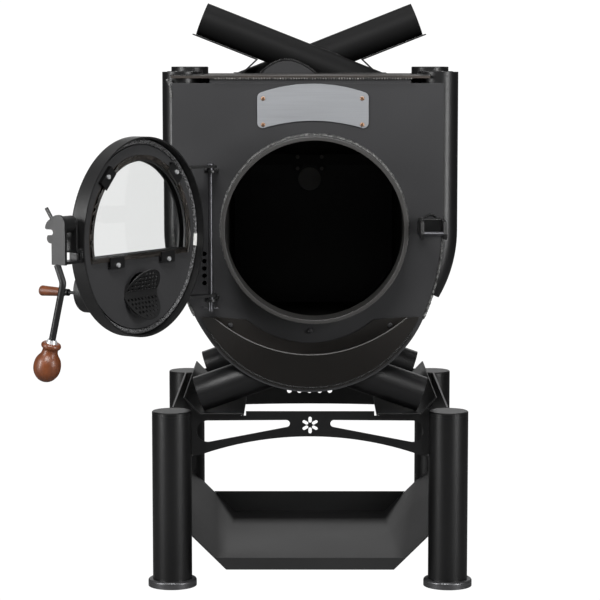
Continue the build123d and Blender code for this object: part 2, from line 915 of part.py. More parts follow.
# Ash lip: a screwed-on back plate with a curved scoop welded to it
ash_back_y = front_y - ash_plate
ash_skirt_x = belly_radius
ash_skirt_z = body_bottom - scoop_reach
belly_centre_z = body_bottom + belly_radius
with BuildPart() as ash_lip:
    with BuildSketch(frontal(ash_back_y)):
        add(u_outline(front_half_left, front_half_right, front_plate_top, ash_lip_inset))
        with BuildSketch(mode=Mode.INTERSECT):
            with BuildLine():
                Polyline(
                    (-ash_skirt_x, ash_skirt_z),
                    (-ash_tip_x, ash_tip_z),
                    (-ash_shoulder_x, ash_shoulder_z),
                )
                ThreePointArc(
                    (-ash_shoulder_x, ash_shoulder_z),
                    (0, ash_arc_bottom_z),
                    (ash_shoulder_x, ash_shoulder_z),
                )
                Polyline(
                    (ash_shoulder_x, ash_shoulder_z),
                    (ash_tip_x, ash_tip_z),
                    (ash_skirt_x, ash_skirt_z),
                    (-ash_skirt_x, ash_skirt_z),
                )
            make_face()
        with Locations(*ash_screws):
            Circle(ash_hole_r, mode=Mode.SUBTRACT)
    extrude(amount=-ash_plate)
save(ash_lip.part, "ash_lip_plate")

# The scoop is part of a cone round the belly, cut off by a slanting plane
scoop_foot_z = belly_centre_z - scoop_foot_r
cone_reach = 1.3 * scoop_reach
cone_rise = (scoop_rim_z - scoop_foot_z) / scoop_reach * cone_reach
with BuildPart() as ash_scoop:
    with BuildSketch(Plane.YZ):
        with BuildLine():
            Polyline(
                (ash_back_y, scoop_foot_z),
                (ash_back_y - cone_reach, scoop_foot_z + cone_rise),
                (ash_back_y - cone_reach, scoop_foot_z + cone_rise + scoop_sheet),
                (ash_back_y, scoop_foot_z + scoop_sheet),
                close=True,
            )
        make_face()
    revolve(axis=Axis((0, 0, belly_centre_z), (0, 1, 0)))
    with BuildSketch(Plane.YZ.offset(-belly_radius)):
        with BuildLine():
            Polyline(
                (ash_back_y - scoop_reach, scoop_rim_z),
                (ash_back_y - scoop_tip_reach, ash_tip_z),
                (ash_back_y, ash_tip_z),
                (ash_back_y, ash_skirt_z),
                (ash_back_y - scoop_reach, ash_skirt_z),
                close=True,
            )
        make_face()
    extrude(amount=2 * belly_radius, mode=Mode.INTERSECT)
save(ash_scoop.part, "ash_scoop")

with BuildPart() as ash_lip_screws:
    with BuildSketch(frontal(ash_back_y)):
        with Locations(*ash_screws):
            Circle(ash_screw_r)
    extrude(amount=ash_screw_head)
    fillet(ash_lip_screws.edges().group_by(Axis.Y)[0], radius=0.8 * ash_screw_head)
    with BuildSketch(frontal(ash_back_y)):
        with Locations(*ash_screws):
            Circle(ash_hole_r - clear)
    extrude(amount=-(ash_plate + weld_plate))
save(ash_lip_screws.part, "ash_lip_screws")

# Catch: two ears on the front plate with a stop block between them, and a pin through their tips
catch_front_y = front_y - catch_reach
catch_pin_y = catch_front_y + catch_pin_d
with BuildPart() as catch_bracket:
    for catch_x in (catch_left_x, catch_right_x):
        with BuildSketch(Plane.YZ.offset(catch_x - catch_ear / 2)):
            with BuildLine():
                Polyline(
                    (front_y, catch_top_z),
                    (catch_front_y + catch_ear_height / 2, catch_top_z),
                    (catch_front_y, catch_pin_z),
                    (catch_front_y + catch_pin_d / 2, catch_pin_z - 1.3 * catch_pin_d),
                    (catch_front_y + catch_ear_height, catch_pin_z - 1.3 * catch_pin_d),
                    (front_y, catch_pin_z - catch_pin_d),
                    close=True,
                )
            make_face()
            with Locations((catch_pin_y, catch_pin_z)):
                Circle(catch_pin_d / 2 + pin_clearance, mode=Mode.SUBTRACT)
        extrude(amount=catch_ear)
    with BuildSketch(Plane.YZ.offset(catch_left_x)):
        with Locations((front_y - catch_back / 2, catch_top_z - catch_stop_height / 2)):
            RectangleRounded(catch_back, catch_stop_height, catch_ear / 3)
    extrude(amount=catch_right_x - catch_left_x)
save(catch_bracket.part, "catch_bracket")

with BuildPart() as catch_pin:
    with BuildSketch(Plane.YZ.offset(catch_left_x - catch_ear / 2)):
        with Locations((catch_pin_y, catch_pin_z)):
            Circle(catch_pin_d / 2)
    extrude(amount=catch_right_x - catch_left_x + catch_ear)
save(catch_pin.part, "catch_pin")

# Hinge: leaves on the plate and on the door, one long rod and its cotter
door_turn = radians(door_open_angle)
along = Vector(cos(door_turn), -sin(door_turn), 0)
inward = Vector(sin(door_turn), cos(door_turn), 0)
hinge_point = Vector(hinge_x, hinge_y, 0)
leaf_zs = (leaf_top_z, leaf_bottom_z)
rod_hole_r = hinge_rod_d / 2 + pin_clearance


def door_face(n):
    """Plane across the door at distance n towards the firebox, its normal pointing outward."""
    return Plane(origin=hinge_point + inward * n, x_dir=along, z_dir=inward * -1)


def door_section(r):
    """Upright plane square to the door at distance r from the hinge, with n and Z as its axes."""
    return Plane(origin=hinge_point + along * r, x_dir=inward, z_dir=along)


def door_level(z):
    """Level plane of the door at height z, with r and n as its axes."""
    return Plane(origin=hinge_point + Vector(0, 0, z), x_dir=along, z_dir=(0, 0, 1))


with BuildPart() as hinge_brackets:
    for leaf_z in leaf_zs:
        body_leaf_z = leaf_z - 2 * leaf_thickness - leaf_gap
        with BuildSketch(Plane.XY.offset(body_leaf_z)):
            with Locations((hinge_x, hinge_y)):
                Circle(leaf_radius)
            with Locations((hinge_x, (hinge_y + front_y) / 2)):
                Rectangle(2 * leaf_radius, front_y - hinge_y)
            with Locations((hinge_x, hinge_y)):
                Circle(rod_hole_r, mode=Mode.SUBTRACT)
        extrude(amount=leaf_thickness)
save(hinge_brackets.part, "hinge_brackets")

with BuildPart() as hinge_washers:
    for leaf_z in leaf_zs:
        with BuildSketch(Plane.XY.offset(leaf_z - leaf_thickness - leaf_gap)):
            with Locations((hinge_x, hinge_y)):
                Circle(leaf_spacer_d / 2)
                Circle(rod_hole_r, mode=Mode.SUBTRACT)
        extrude(amount=leaf_gap - pin_clearance)
save(hinge_washers.part, "hinge_washers")

with BuildPart() as hinge_rod:
    with BuildSketch(Plane.XY.offset(cotter_z)):
        with Locations((hinge_x, hinge_y)):
            Circle(hinge_rod_d / 2)
    extrude(amount=leaf_top_z + clear - cotter_z)
    with BuildSketch(Plane.XY.offset(leaf_top_z + clear)):
        with Locations((hinge_x, hinge_y)):
            Circle(hinge_rod_head_d / 2)
    extrude(amount=hinge_rod_head)
    fillet(hinge_rod.edges().group_by(Axis.Z)[-1], radius=0.6 * hinge_rod_head)
    with BuildSketch(Plane.YZ.offset(hinge_x - hinge_rod_d)):
        with Locations((hinge_y, cotter_z + 2 * cotter_wire_d)):
            Circle(cotter_wire_d / 2 + clear)
    extrude(amount=2 * hinge_rod_d, mode=Mode.SUBTRACT)
save(hinge_rod.part, "hinge_rod")

with BuildPart() as cotter:
    with BuildSketch(Plane.YZ.offset(hinge_x - cotter_ring_r)):
        with Locations((hinge_y, cotter_z + 2 * cotter_wire_d)):
            Circle(cotter_wire_d / 2)
    extrude(amount=2 * cotter_ring_r)
    with BuildSketch(Plane.XZ.offset(-hinge_y)):
        with Locations((hinge_x - cotter_ring_r - cotter_wire_d, cotter_z + 2 * cotter_wire_d)):
            Circle(1.6 * cotter_wire_d)
            Circle(0.8 * cotter_wire_d, mode=Mode.SUBTRACT)
    extrude(amount=cotter_wire_d / 2, both=True)
save(cotter.part, "hinge_cotter")

# Door shell: a shallow round pan with a skin outside, a window and the intake hole
door_back_n = door_rim_n - door_depth
intake_z = mouth_z - intake_below


def window_outline(radius, bottom):
    """Round outline cut off flat below, centred on the door."""
    with BuildSketch() as outline:
        with Locations((door_centre, mouth_z)):
            Circle(radius)
        with Locations((door_centre, mouth_z + bottom - radius)):
            Rectangle(2 * radius, 2 * radius, mode=Mode.SUBTRACT)
    return outline.sketch


with BuildPart() as door_shell:
    with BuildSketch(door_face(door_back_n)):
        with Locations((door_centre, mouth_z)):
            Circle(door_radius)
    extrude(amount=-door_depth)
    with BuildSketch(door_face(door_back_n + door_skin)):
        with Locations((door_centre, mouth_z)):
            Circle(door_radius - door_rim_wall)
    extrude(amount=-door_depth, mode=Mode.SUBTRACT)
    with BuildSketch(door_face(door_back_n)):
        add(window_outline(window_radius, window_bottom))
        with Locations((door_centre, intake_z)):
            Circle(intake_r - intake_wall)
    extrude(amount=-door_skin, mode=Mode.SUBTRACT)
    outer_edge = door_shell.edges().filter_by(GeomType.CIRCLE)
    outer_edge = outer_edge.filter_by(lambda e: abs(e.radius - door_radius) < clear)
    outer_edge = outer_edge.sort_by(lambda e: (e.center() - hinge_point).dot(inward))[0]
    fillet(outer_edge, radius=door_edge_round)
save(door_shell.part, "door_shell")

# Strap leaves that carry the door on the hinge rod
with BuildPart() as door_rim_core:
    with BuildSketch(door_face(door_back_n)):
        with Locations((door_centre, mouth_z)):
            Circle(door_radius)
    extrude(amount=-door_depth)

leaf_reach = door_centre - (door_radius**2 - (leaf_top_z - mouth_z) ** 2) ** 0.5 + leaf_radius
leaf_middle_n = door_rim_n - door_depth / 2
with BuildPart() as door_leaves:
    for leaf_z in leaf_zs:
        with BuildSketch(door_level(leaf_z - leaf_thickness)):
            Circle(leaf_radius)
            with Locations((leaf_reach - leaf_radius, leaf_middle_n)):
                Rectangle(2 * leaf_radius, 2 * leaf_radius)
            make_hull()
            Circle(rod_hole_r, mode=Mode.SUBTRACT)
        extrude(amount=leaf_thickness)
    add(door_rim_core.part, mode=Mode.SUBTRACT)
save(door_leaves.part, "door_leaves")

# Inner plate, with a turned edge that makes the channel of the rope seal
door_axis = Axis(hinge_point + along * door_centre + Vector(0, 0, mouth_z), inward)
mouth_n = mouth_front_y - hinge_y
rope_n = mouth_n - clear - gasket_d / 2
channel_floor_n = rope_n - gasket_d / 2 - clear
plate_n = mouth_n - inner_plate
plate_r = gasket_mean_r - gasket_d / 2 - 2 * clear
rim_inner_r = door_radius - door_rim_wall
with BuildPart() as inner_door_plate:
    with BuildSketch(door_level(mouth_z)):
        with BuildLine():
            Polyline(
                (door_centre, plate_n - inner_plate),
                (door_centre + plate_r - channel_wall, plate_n - inner_plate),
                (door_centre + plate_r - channel_wall, channel_floor_n - channel_wall),
                (door_centre + rim_inner_r - clear, channel_floor_n - channel_wall),
                (door_centre + rim_inner_r - clear, channel_floor_n),
                (door_centre + plate_r, channel_floor_n),
                (door_centre + plate_r, plate_n),
                (door_centre, plate_n),
                close=True,
            )
        make_face()
    revolve(axis=door_axis)
    with BuildSketch(door_face(plate_n - 2 * inner_plate)):
        add(window_outline(window_radius, window_bottom))
        with Locations((door_centre, intake_z)):
            Circle(intake_r - intake_wall)
    extrude(amount=-3 * inner_plate, mode=Mode.SUBTRACT)
save(inner_door_plate.part, "inner_door_plate")

with BuildPart() as rope_seal:
    with BuildSketch(door_level(mouth_z)):
        with Locations((door_centre + gasket_mean_r, rope_n)):
            Circle(gasket_d / 2)
    revolve(axis=door_axis)
save(rope_seal.part, "rope_seal")

with BuildPart() as glass_seal_strip:
    with BuildSketch(door_face(plate_n)):
        add(window_outline(glass_radius, glass_bottom))
        add(
            window_outline(glass_radius - glass_seal_width, glass_bottom + glass_seal_width),
            mode=Mode.SUBTRACT,
        )
    extrude(amount=-glass_seal)
save(glass_seal_strip.part, "glass_seal")

with BuildPart() as glass:
    with BuildSketch(door_face(plate_n + glass_seal)):
        add(window_outline(glass_radius, glass_bottom))
    extrude(amount=-glass_thickness)
save(glass.part, "door_glass")

# Glass clips: bent tabs held by one screw each, lapping the pane
clip_n = plate_n + glass_seal + glass_thickness
clip_spots = [
    (clip_high[0], clip_high[1], 45),
    (-clip_high[0], clip_high[1], 135),
    (clip_low[0], clip_low[1], -90),
    (-clip_low[0], clip_low[1], -90),
]
with BuildPart() as glass_clips:
    for dr, dz, turn in clip_spots:
        clip_seat = hinge_point + along * (door_centre + dr) + inward * clip_n
        clip_plane = Plane(
            origin=clip_seat + Vector(0, 0, mouth_z + dz),
            x_dir=along * cos(radians(turn)) + Vector(0, 0, sin(radians(turn))),
            z_dir=inward * -1,
        )
        with BuildSketch(clip_plane):
            with Locations((-clip_lap, 0)):
                Rectangle(clip_width, clip_length)
            Circle(clip_screw_shank / 2 + clear, mode=Mode.SUBTRACT)
        extrude(amount=-clip_thickness)
        with BuildSketch(clip_plane):
            with Locations((clip_width / 2 - clip_lap - clip_thickness / 2, 0)):
                Rectangle(clip_thickness, clip_length)
        extrude(amount=clip_n - plate_n)
save(glass_clips.part, "glass_clips")

with BuildPart() as clip_screws:
    with BuildSketch(door_face(clip_n + clip_thickness)):
        with Locations(*[(door_centre + dr, mouth_z + dz) for dr, dz, turn in clip_spots]):
            Circle(clip_screw_r)
    extrude(amount=-clip_screw_head)
    with BuildSketch(door_face(clip_n + clip_thickness)):
        with Locations(*[(door_centre + dr, mouth_z + dz) for dr, dz, turn in clip_spots]):
            Circle(clip_screw_shank / 2)
    extrude(amount=clip_n + clip_thickness - plate_n)
save(clip_screws.part, "clip_screws")

# Spark guard: a perforated disc folded to a V over the air hole
guard_origin = hinge_point + along * door_centre + inward * plate_n + Vector(0, 0, intake_z)
tilt = radians(guard_tilt)
with BuildPart() as spark_guard:
    with BuildSketch(Plane(origin=guard_origin, x_dir=along, z_dir=inward * -1)):
        Rectangle(2 * guard_radius, guard_strip)
    extrude(amount=-guard_sheet)
    for up in (1, -1):
        wing_plane = Plane(
            origin=guard_origin + Vector(0, 0, up * guard_strip / 2),
            x_dir=along * up,
            z_dir=inward * -cos(tilt) + Vector(0, 0, up * sin(tilt)),
        )
        with BuildSketch(wing_plane):
            Circle(guard_radius)
            with Locations((0, -guard_radius)):
                Rectangle(2 * guard_radius, 2 * guard_radius, mode=Mode.SUBTRACT)
            holes = [
                (
                    column * guard_pitch + (row % 2) * guard_pitch / 2,
                    guard_border + row * guard_pitch * 0.87,
                )
                for row in range(5)
                for column in range(-5, 6)
            ]
            holes = [hole for hole in holes if hypot(*hole) < guard_radius - guard_border]
            with Locations(*holes):
                Circle(guard_hole_r, mode=Mode.SUBTRACT)
        extrude(amount=-guard_sheet)
save(spark_guard.part, "spark_guard")

# Air intake pipe with the bridge that guides the valve rod
pipe_end_n = door_back_n - intake_length
bridge_n = door_back_n - bridge_depth
valve_rod_z = intake_z - valve_rod_drop
with BuildPart() as intake_pipe:
    with BuildSketch(door_face(pipe_end_n)):
        with Locations((door_centre, intake_z)):
            Circle(intake_r)
            Circle(intake_r - intake_wall, mode=Mode.SUBTRACT)
    extrude(amount=-intake_length)
save(intake_pipe.part, "intake_pipe")

with BuildPart() as intake_core:
    with BuildSketch(door_face(pipe_end_n)):
        with Locations((door_centre, intake_z)):
            Circle(intake_r - intake_wall - clear)
    extrude(amount=-intake_length)

with BuildPart() as valve_bridge:
    with BuildSketch(door_face(bridge_n)):
        with Locations((door_centre, intake_z)):
            Rectangle(bridge_width, 2 * intake_r)
        with Locations((door_centre, valve_rod_z)):
            Circle(valve_rod_d / 2 + pin_clearance, mode=Mode.SUBTRACT)
    extrude(amount=-bridge_thickness)
    add(intake_core.part, mode=Mode.INTERSECT)
save(valve_bridge.part, "valve_bridge")

# Valve: a disc over the pipe mouth on a rod that slides, with a wooden knob
disc_n = pipe_end_n - clear - valve_disc_thickness
knob_back_n = knob_length - knob_tip
with BuildPart() as valve_disc:
    with BuildSketch(door_face(disc_n)):
        with Locations((door_centre, intake_z)):
            Circle(valve_disc_r)
        with Locations((door_centre, valve_rod_z)):
            Circle(valve_rod_d / 2, mode=Mode.SUBTRACT)
    extrude(amount=-valve_disc_thickness)
save(valve_disc.part, "valve_disc")

with BuildPart() as valve_rod:
    with BuildSketch(door_face(knob_back_n - knob_length / 2)):
        with Locations((door_centre, valve_rod_z)):
            Circle(valve_rod_d / 2)
    extrude(amount=-(knob_length / 2 - knob_back_n - valve_rod_inner))
    with BuildSketch(door_face(knob_back_n)):
        with Locations((door_centre, valve_rod_z)):
            Circle(knob_boss_r)
    extrude(amount=-knob_boss)
save(valve_rod.part, "valve_rod")

with BuildPart() as valve_knob:
    with BuildSketch(door_level(valve_rod_z)):
        with BuildLine():
            Polyline(
                (door_centre, knob_back_n - knob_length),
                (door_centre + knob_front_r, knob_back_n - knob_length),
                (door_centre + knob_back_r, knob_back_n),
                (door_centre, knob_back_n),
                close=True,
            )
        make_face()
    revolve(axis=Axis(hinge_point + along * door_centre + Vector(0, 0, valve_rod_z), inward))
    rims = valve_knob.edges().filter_by(GeomType.CIRCLE)
    rims = rims.sort_by(lambda e: (e.center() - hinge_point).dot(inward))
    fillet(rims[0], radius=0.45 * knob_front_r)
    with BuildSketch(door_face(knob_back_n - knob_length / 2)):
        with Locations((door_centre, valve_rod_z)):
            Circle(valve_rod_d / 2)
    extrude(amount=-knob_length, mode=Mode.SUBTRACT)
save(valve_knob.part, "valve_knob")

# Latch carrier: a strap bent like a Z on the rim of the door, with the pivot boss and a shelf below
strap_foot_r = door_centre + door_radius - 5 * clear
shelf_end_r = latch_r + latch_plate / 2 - latch_rod_d / 2 - 2 * clear
strap_edge = Plane(origin=hinge_point + inward * latch_strap_inner, x_dir=along, z_dir=inward * -1)
with BuildPart() as latch_carrier:
    with BuildSketch(strap_edge):
        with BuildLine():
            Polyline(
                (latch_strap_r, latch_strap_top),
                (latch_strap_r, latch_strap_step),
                (strap_foot_r, latch_strap_step),
                (strap_foot_r, latch_strap_low),
                (shelf_end_r, latch_strap_low),
            )
            offset(amount=latch_strap, side=Side.LEFT)
        make_face()
    extrude(amount=latch_strap_inner - latch_strap_outer)
    with BuildSketch(door_section(latch_strap_r)):
        with Locations((latch_pivot_n, latch_pivot_z)):
            Circle(latch_boss_r)
    extrude(amount=latch_r - clear - latch_strap_r)
    with BuildSketch(door_section(latch_strap_r)):
        with Locations((latch_pivot_n, latch_pivot_z)):
            Circle(latch_pin_d / 2 + pin_clearance)
    extrude(amount=latch_r, mode=Mode.SUBTRACT)
    add(door_rim_core.part, mode=Mode.SUBTRACT)
save(latch_carrier.part, "latch_carrier")

# Latch: claw plate on its pivot pin, a cranked rod and a turned wooden grip
lean = radians(thumb_pin_lean)
thumb_dir = inward * -sin(lean) + Vector(0, 0, cos(lean))
latch_middle = hinge_point + along * (latch_r + latch_plate / 2)
thumb_point = latch_middle + inward * thumb_pin_n + Vector(0, 0, thumb_pin_z)
thumb_foot = thumb_point - thumb_dir * thumb_pin_d
with BuildPart() as latch_claw:
    with BuildSketch(door_section(latch_r)):
        with BuildLine():
            ThreePointArc(
                (latch_inner_n, latch_pivot_z),
                (latch_pivot_n + 2, latch_pivot_z + latch_top_r),
                (latch_outer_n, latch_pivot_z + 0.62 * latch_top_r),
            )
            ThreePointArc(
                (latch_outer_n, latch_pivot_z + 0.62 * latch_top_r),
                ((latch_outer_n + claw_tip_n) / 2 - 2, claw_upper_z + 2.5),
                (claw_tip_n, claw_z + claw_half_mouth + 2),
            )
            Polyline(
                (claw_tip_n, claw_z + claw_half_mouth + 2),
                (claw_tip_n + 3, claw_z + claw_half_mouth),
                (claw_notch_n - claw_half_mouth, claw_z + claw_half_mouth),
            )
            ThreePointArc(
                (claw_notch_n - claw_half_mouth, claw_z + claw_half_mouth),
                (claw_notch_n, claw_z),
                (claw_notch_n - claw_half_mouth, claw_z - claw_half_mouth),
            )
            Line(
                (claw_notch_n - claw_half_mouth, claw_z - claw_half_mouth),
                (claw_tip_n + 6, claw_z - claw_half_mouth),
            )
            ThreePointArc(
                (claw_tip_n + 6, claw_z - claw_half_mouth),
                (claw_tip_n + 4, claw_z - claw_half_mouth - 5),
                (latch_outer_n, claw_lower_z - 4),
            )
            Polyline(
                (latch_outer_n, claw_lower_z - 4),
                (latch_outer_n, latch_bottom_z),
                (latch_inner_n, latch_bottom_z),
                (latch_inner_n, latch_pivot_z),
            )
        make_face()
    extrude(amount=latch_plate)
    with BuildSketch(Plane(origin=thumb_foot, x_dir=along, z_dir=thumb_dir)):
        Circle(thumb_pin_d / 2)
    extrude(amount=thumb_pin_length + thumb_pin_d)
save(latch_claw.part, "latch_claw")

with BuildPart() as latch_pin:
    with BuildSketch(door_section(latch_strap_r + clear)):
        with Locations((latch_pivot_n, latch_pivot_z)):
            Circle(latch_pin_d / 2)
    extrude(amount=latch_r - latch_strap_r - clear)
save(latch_pin.part, "latch_pivot_pin")

rod_plane = door_section(latch_r + latch_plate / 2)
rod_run = hypot(latch_rod_end_n - latch_knee_n, latch_rod_end_z - latch_knee_z)
rod_dir_n = (latch_rod_end_n - latch_knee_n) / rod_run
rod_dir_z = (latch_rod_end_z - latch_knee_z) / rod_run
with BuildPart() as latch_rod:
    with BuildLine(rod_plane) as rod_path:
        FilletPolyline(
            (latch_foot_n, latch_bottom_z),
            (latch_knee_n, latch_knee_z),
            (latch_rod_end_n + rod_dir_n * ferrule_length, latch_rod_end_z + rod_dir_z * ferrule_length),
            radius=latch_knee_bend,
        )
    with BuildSketch(Plane(origin=rod_path.line @ 0, z_dir=rod_path.line % 0)):
        Circle(latch_rod_d / 2)
    sweep(path=rod_path.line)
    add(latch_claw.part, mode=Mode.SUBTRACT)
save(latch_rod.part, "latch_rod")

# Grip profile along the line of the rod, from the ferrule to the round end
grip_start = latch_middle + inward * latch_rod_end_n + Vector(0, 0, latch_rod_end_z)
grip_dir = inward * rod_dir_n + Vector(0, 0, rod_dir_z)
grip_plane = Plane(origin=grip_start, x_dir=along, z_dir=along.cross(grip_dir))
grip_axis = Axis(grip_start, grip_dir)
with BuildPart() as ferrule:
    with BuildSketch(grip_plane):
        with BuildLine():
            Polyline(
                (latch_rod_d / 2, 0),
                (ferrule_r - 2, 0),
                (ferrule_r, ferrule_length),
                (latch_rod_d / 2, ferrule_length),
                close=True,
            )
        make_face()
    revolve(axis=grip_axis)
save(ferrule.part, "grip_ferrule")

with BuildPart() as grip:
    with BuildSketch(grip_plane):
        with BuildLine():
            Polyline((0, ferrule_length), (grip_collar_r - 3, ferrule_length))
            ThreePointArc(
                (grip_collar_r - 3, ferrule_length),
                (grip_collar_r, ferrule_length + grip_collar / 2),
                (grip_collar_r - 3, ferrule_length + grip_collar),
            )
            Spline(
                (grip_collar_r - 3, ferrule_length + grip_collar),
                (grip_neck_r, ferrule_length + grip_collar + 3),
                (grip_belly_r, ferrule_length + 0.62 * grip_length),
                tangents=[(-1, 0.4), (0, 1)],
            )
            Spline(
                (grip_belly_r, ferrule_length + 0.62 * grip_length),
                (0.73 * grip_belly_r, ferrule_length + 0.88 * grip_length),
                (0, ferrule_length + grip_length),
                tangents=[(0, 1), (-1, 0)],
            )
            Line((0, ferrule_length + grip_length), (0, ferrule_length))
        make_face()
    revolve(axis=grip_axis)
save(grip.part, "latch_grip")
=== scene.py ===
from math import cos, pi, radians, sin

import bmesh
import bpy
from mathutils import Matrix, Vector
from mathutils.bvhtree import BVHTree

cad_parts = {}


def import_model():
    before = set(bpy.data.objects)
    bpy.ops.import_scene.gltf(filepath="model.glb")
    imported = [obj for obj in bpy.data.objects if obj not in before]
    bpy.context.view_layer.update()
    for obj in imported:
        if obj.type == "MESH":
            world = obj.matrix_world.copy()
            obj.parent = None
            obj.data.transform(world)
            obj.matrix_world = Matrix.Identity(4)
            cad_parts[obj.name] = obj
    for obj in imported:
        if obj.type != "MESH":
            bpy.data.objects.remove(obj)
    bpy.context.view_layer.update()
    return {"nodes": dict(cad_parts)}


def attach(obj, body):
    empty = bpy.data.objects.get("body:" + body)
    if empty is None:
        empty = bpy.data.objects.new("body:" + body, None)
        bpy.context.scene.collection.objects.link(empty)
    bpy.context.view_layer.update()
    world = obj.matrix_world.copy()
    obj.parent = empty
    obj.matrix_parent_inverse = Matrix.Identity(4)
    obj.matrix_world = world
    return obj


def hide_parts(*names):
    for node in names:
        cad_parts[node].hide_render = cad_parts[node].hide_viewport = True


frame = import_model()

nodes = frame["nodes"]

# Camera: a long lens a little above the top plate, looking down at the open door.
camera_place = Vector((-0.0097, -4.5641, 1.0230))
camera_pitch = 6.213
camera_yaw = -0.131
camera = bpy.data.objects.new("camera", bpy.data.cameras.new("camera"))
bpy.context.scene.collection.objects.link(camera)
camera.data.sensor_width = 36.0
camera.data.lens = 134.85
camera.location = camera_place
camera.rotation_euler = (radians(90 - camera_pitch), 0, radians(-camera_yaw))
bpy.context.scene.camera = camera

# Studio: a white backdrop that the camera and the door pane see, and dim surroundings for everything
# else, lighter behind the stove. Tall soft boxes left and right draw the upright highlights.
paper_white = 1.05
dim_front, dim_back, dim_starts = 0.05, 0.16, 0.2
bpy.context.scene.view_settings.view_transform = "Standard"
world = bpy.data.worlds.new("studio")
bpy.context.scene.world = world
world.use_nodes = True
air = world.node_tree


def seen_white(tree):
    """One for what the camera sees, straight or through the glass, and nothing for other rays."""
    seen = tree.nodes.new("ShaderNodeLightPath")
    either = tree.nodes.new("ShaderNodeMath")
    either.operation = "MAXIMUM"
    tree.links.new(seen.outputs["Is Camera Ray"], either.inputs[0])
    tree.links.new(seen.outputs["Is Transmission Ray"], either.inputs[1])
    return either.outputs[0]


glow = air.nodes.new("ShaderNodeBackground")
glow.inputs["Color"].default_value = (1.0, 1.0, 1.0, 1.0)
glow.inputs["Strength"].default_value = paper_white
surround = air.nodes["Background"]
surround.inputs["Strength"].default_value = 1.0
outlook = air.nodes.new("ShaderNodeTexCoord")
split = air.nodes.new("ShaderNodeSeparateXYZ")
shade = air.nodes.new("ShaderNodeMapRange")
shade.inputs["From Min"].default_value = dim_starts
shade.inputs["To Min"].default_value = dim_front
shade.inputs["To Max"].default_value = dim_back
air.links.new(outlook.outputs["Generated"], split.inputs[0])
air.links.new(split.outputs["Y"], shade.inputs["Value"])
air.links.new(shade.outputs[0], surround.inputs["Color"])
choice = air.nodes.new("ShaderNodeMixShader")
air.links.new(seen_white(air), choice.inputs[0])
air.links.new(surround.outputs[0], choice.inputs[1])
air.links.new(glow.outputs[0], choice.inputs[2])
air.links.new(choice.outputs[0], air.nodes["World Output"].inputs["Surface"])


def soft_box(name, place, target, width, height, power):
    """Square light that faces a point of the stove."""
    lamp = bpy.data.lights.new(name, "AREA")
    lamp.shape = "RECTANGLE"
    lamp.size, lamp.size_y = width, height
    lamp.energy = power
    box = bpy.data.objects.new(name, lamp)
    bpy.context.scene.collection.objects.link(box)
    box.location = place
    box.rotation_mode = "QUATERNION"
    box.rotation_quaternion = (Vector(target) - Vector(place)).to_track_quat("-Z", "Y")
    box.visible_camera = False
    box.visible_transmission = False


soft_box("left_box", (-2.9, -2.0, 1.3), (0, 0, 0.6), 0.45, 2.4, 78)
soft_box("right_box", (2.6, -2.6, 1.2), (0, 0, 0.55), 0.5, 2.2, 74)
soft_box("front_box", (-0.4, -3.0, 3.3), (0, -0.3, 0.95), 1.8, 1.2, 112)
soft_box("top_box", (0.0, 0.4, 3.2), (0, 0, 0.8), 2.4, 1.8, 28)
soft_box("back_box", (0.0, 4.2, 2.0), (0, 0, 0.4), 4.5, 1.4, 20)

# Floor: one wide sheet of white paper under the stove, lit so evenly that nothing throws a shade on
# it. Seen from the camera it glows white, and to every other ray it is a dim grey.
floor_half = 40.0
floor_drop = 0.0005
paper_grey = 0.16


class Wire:
    """A socket of a finish, on which Python's own arithmetic adds Math nodes."""

    def __init__(self, finish, socket):
        self.finish, self.socket = finish, socket

    def reckon(self, operation, first, second):
        return self.finish.node("ShaderNodeMath", {"operation": operation}, {0: first, 1: second})

    def __add__(self, other):
        return self.reckon("ADD", self, other)

    def __mul__(self, other):
        return self.reckon("MULTIPLY", self, other)

    def __sub__(self, other):
        return self.reckon("SUBTRACT", self, other)

    def __rsub__(self, other):
        return self.reckon("SUBTRACT", other, self)

    __radd__ = __add__
    __rmul__ = __mul__


class Finish:
    """A material made of nodes: its shader, and one method that adds any other node."""

    def __init__(self, name, **sockets):
        self.material = bpy.data.materials.new(name)
        self.material.use_nodes = True
        self.tree = self.material.node_tree
        self.shader = self.tree.nodes["Principled BSDF"]
        self.spot = self.node("ShaderNodeTexCoord", {}, {}, "Object")
        self.wear(**sockets)

    def node(self, kind, settings, sockets, output=0):
        made = self.tree.nodes.new(kind)
        for key, value in settings.items():
            setattr(made, key, value)
        for key, value in sockets.items():
            self.join(value, made.inputs[key])
        return Wire(self, made.outputs[output])

    def join(self, value, socket):
        if isinstance(value, Wire):
            self.tree.links.new(value.socket, socket)
        else:
            socket.default_value = value

    def wear(self, **sockets):
        for key, value in sockets.items():
            self.join(value, self.shader.inputs[key.replace("_", " ")])

    def noise(self, scale, detail=2.0, stretch=(1, 1, 1)):
        place = self.node("ShaderNodeMapping", {}, {"Vector": self.spot, "Scale": stretch})
        return self.node("ShaderNodeTexNoise", {}, {"Vector": place, "Scale": scale, "Detail": detail})

    def blend(self, share, first, second):
        settings = {"data_type": "RGBA"}
        return self.node("ShaderNodeMix", settings, {0: share, 6: (*first, 1), 7: (*second, 1)}, 2)

    def relief(self, height, depth):
        return self.node("ShaderNodeBump", {}, {"Height": height, "Distance": depth})


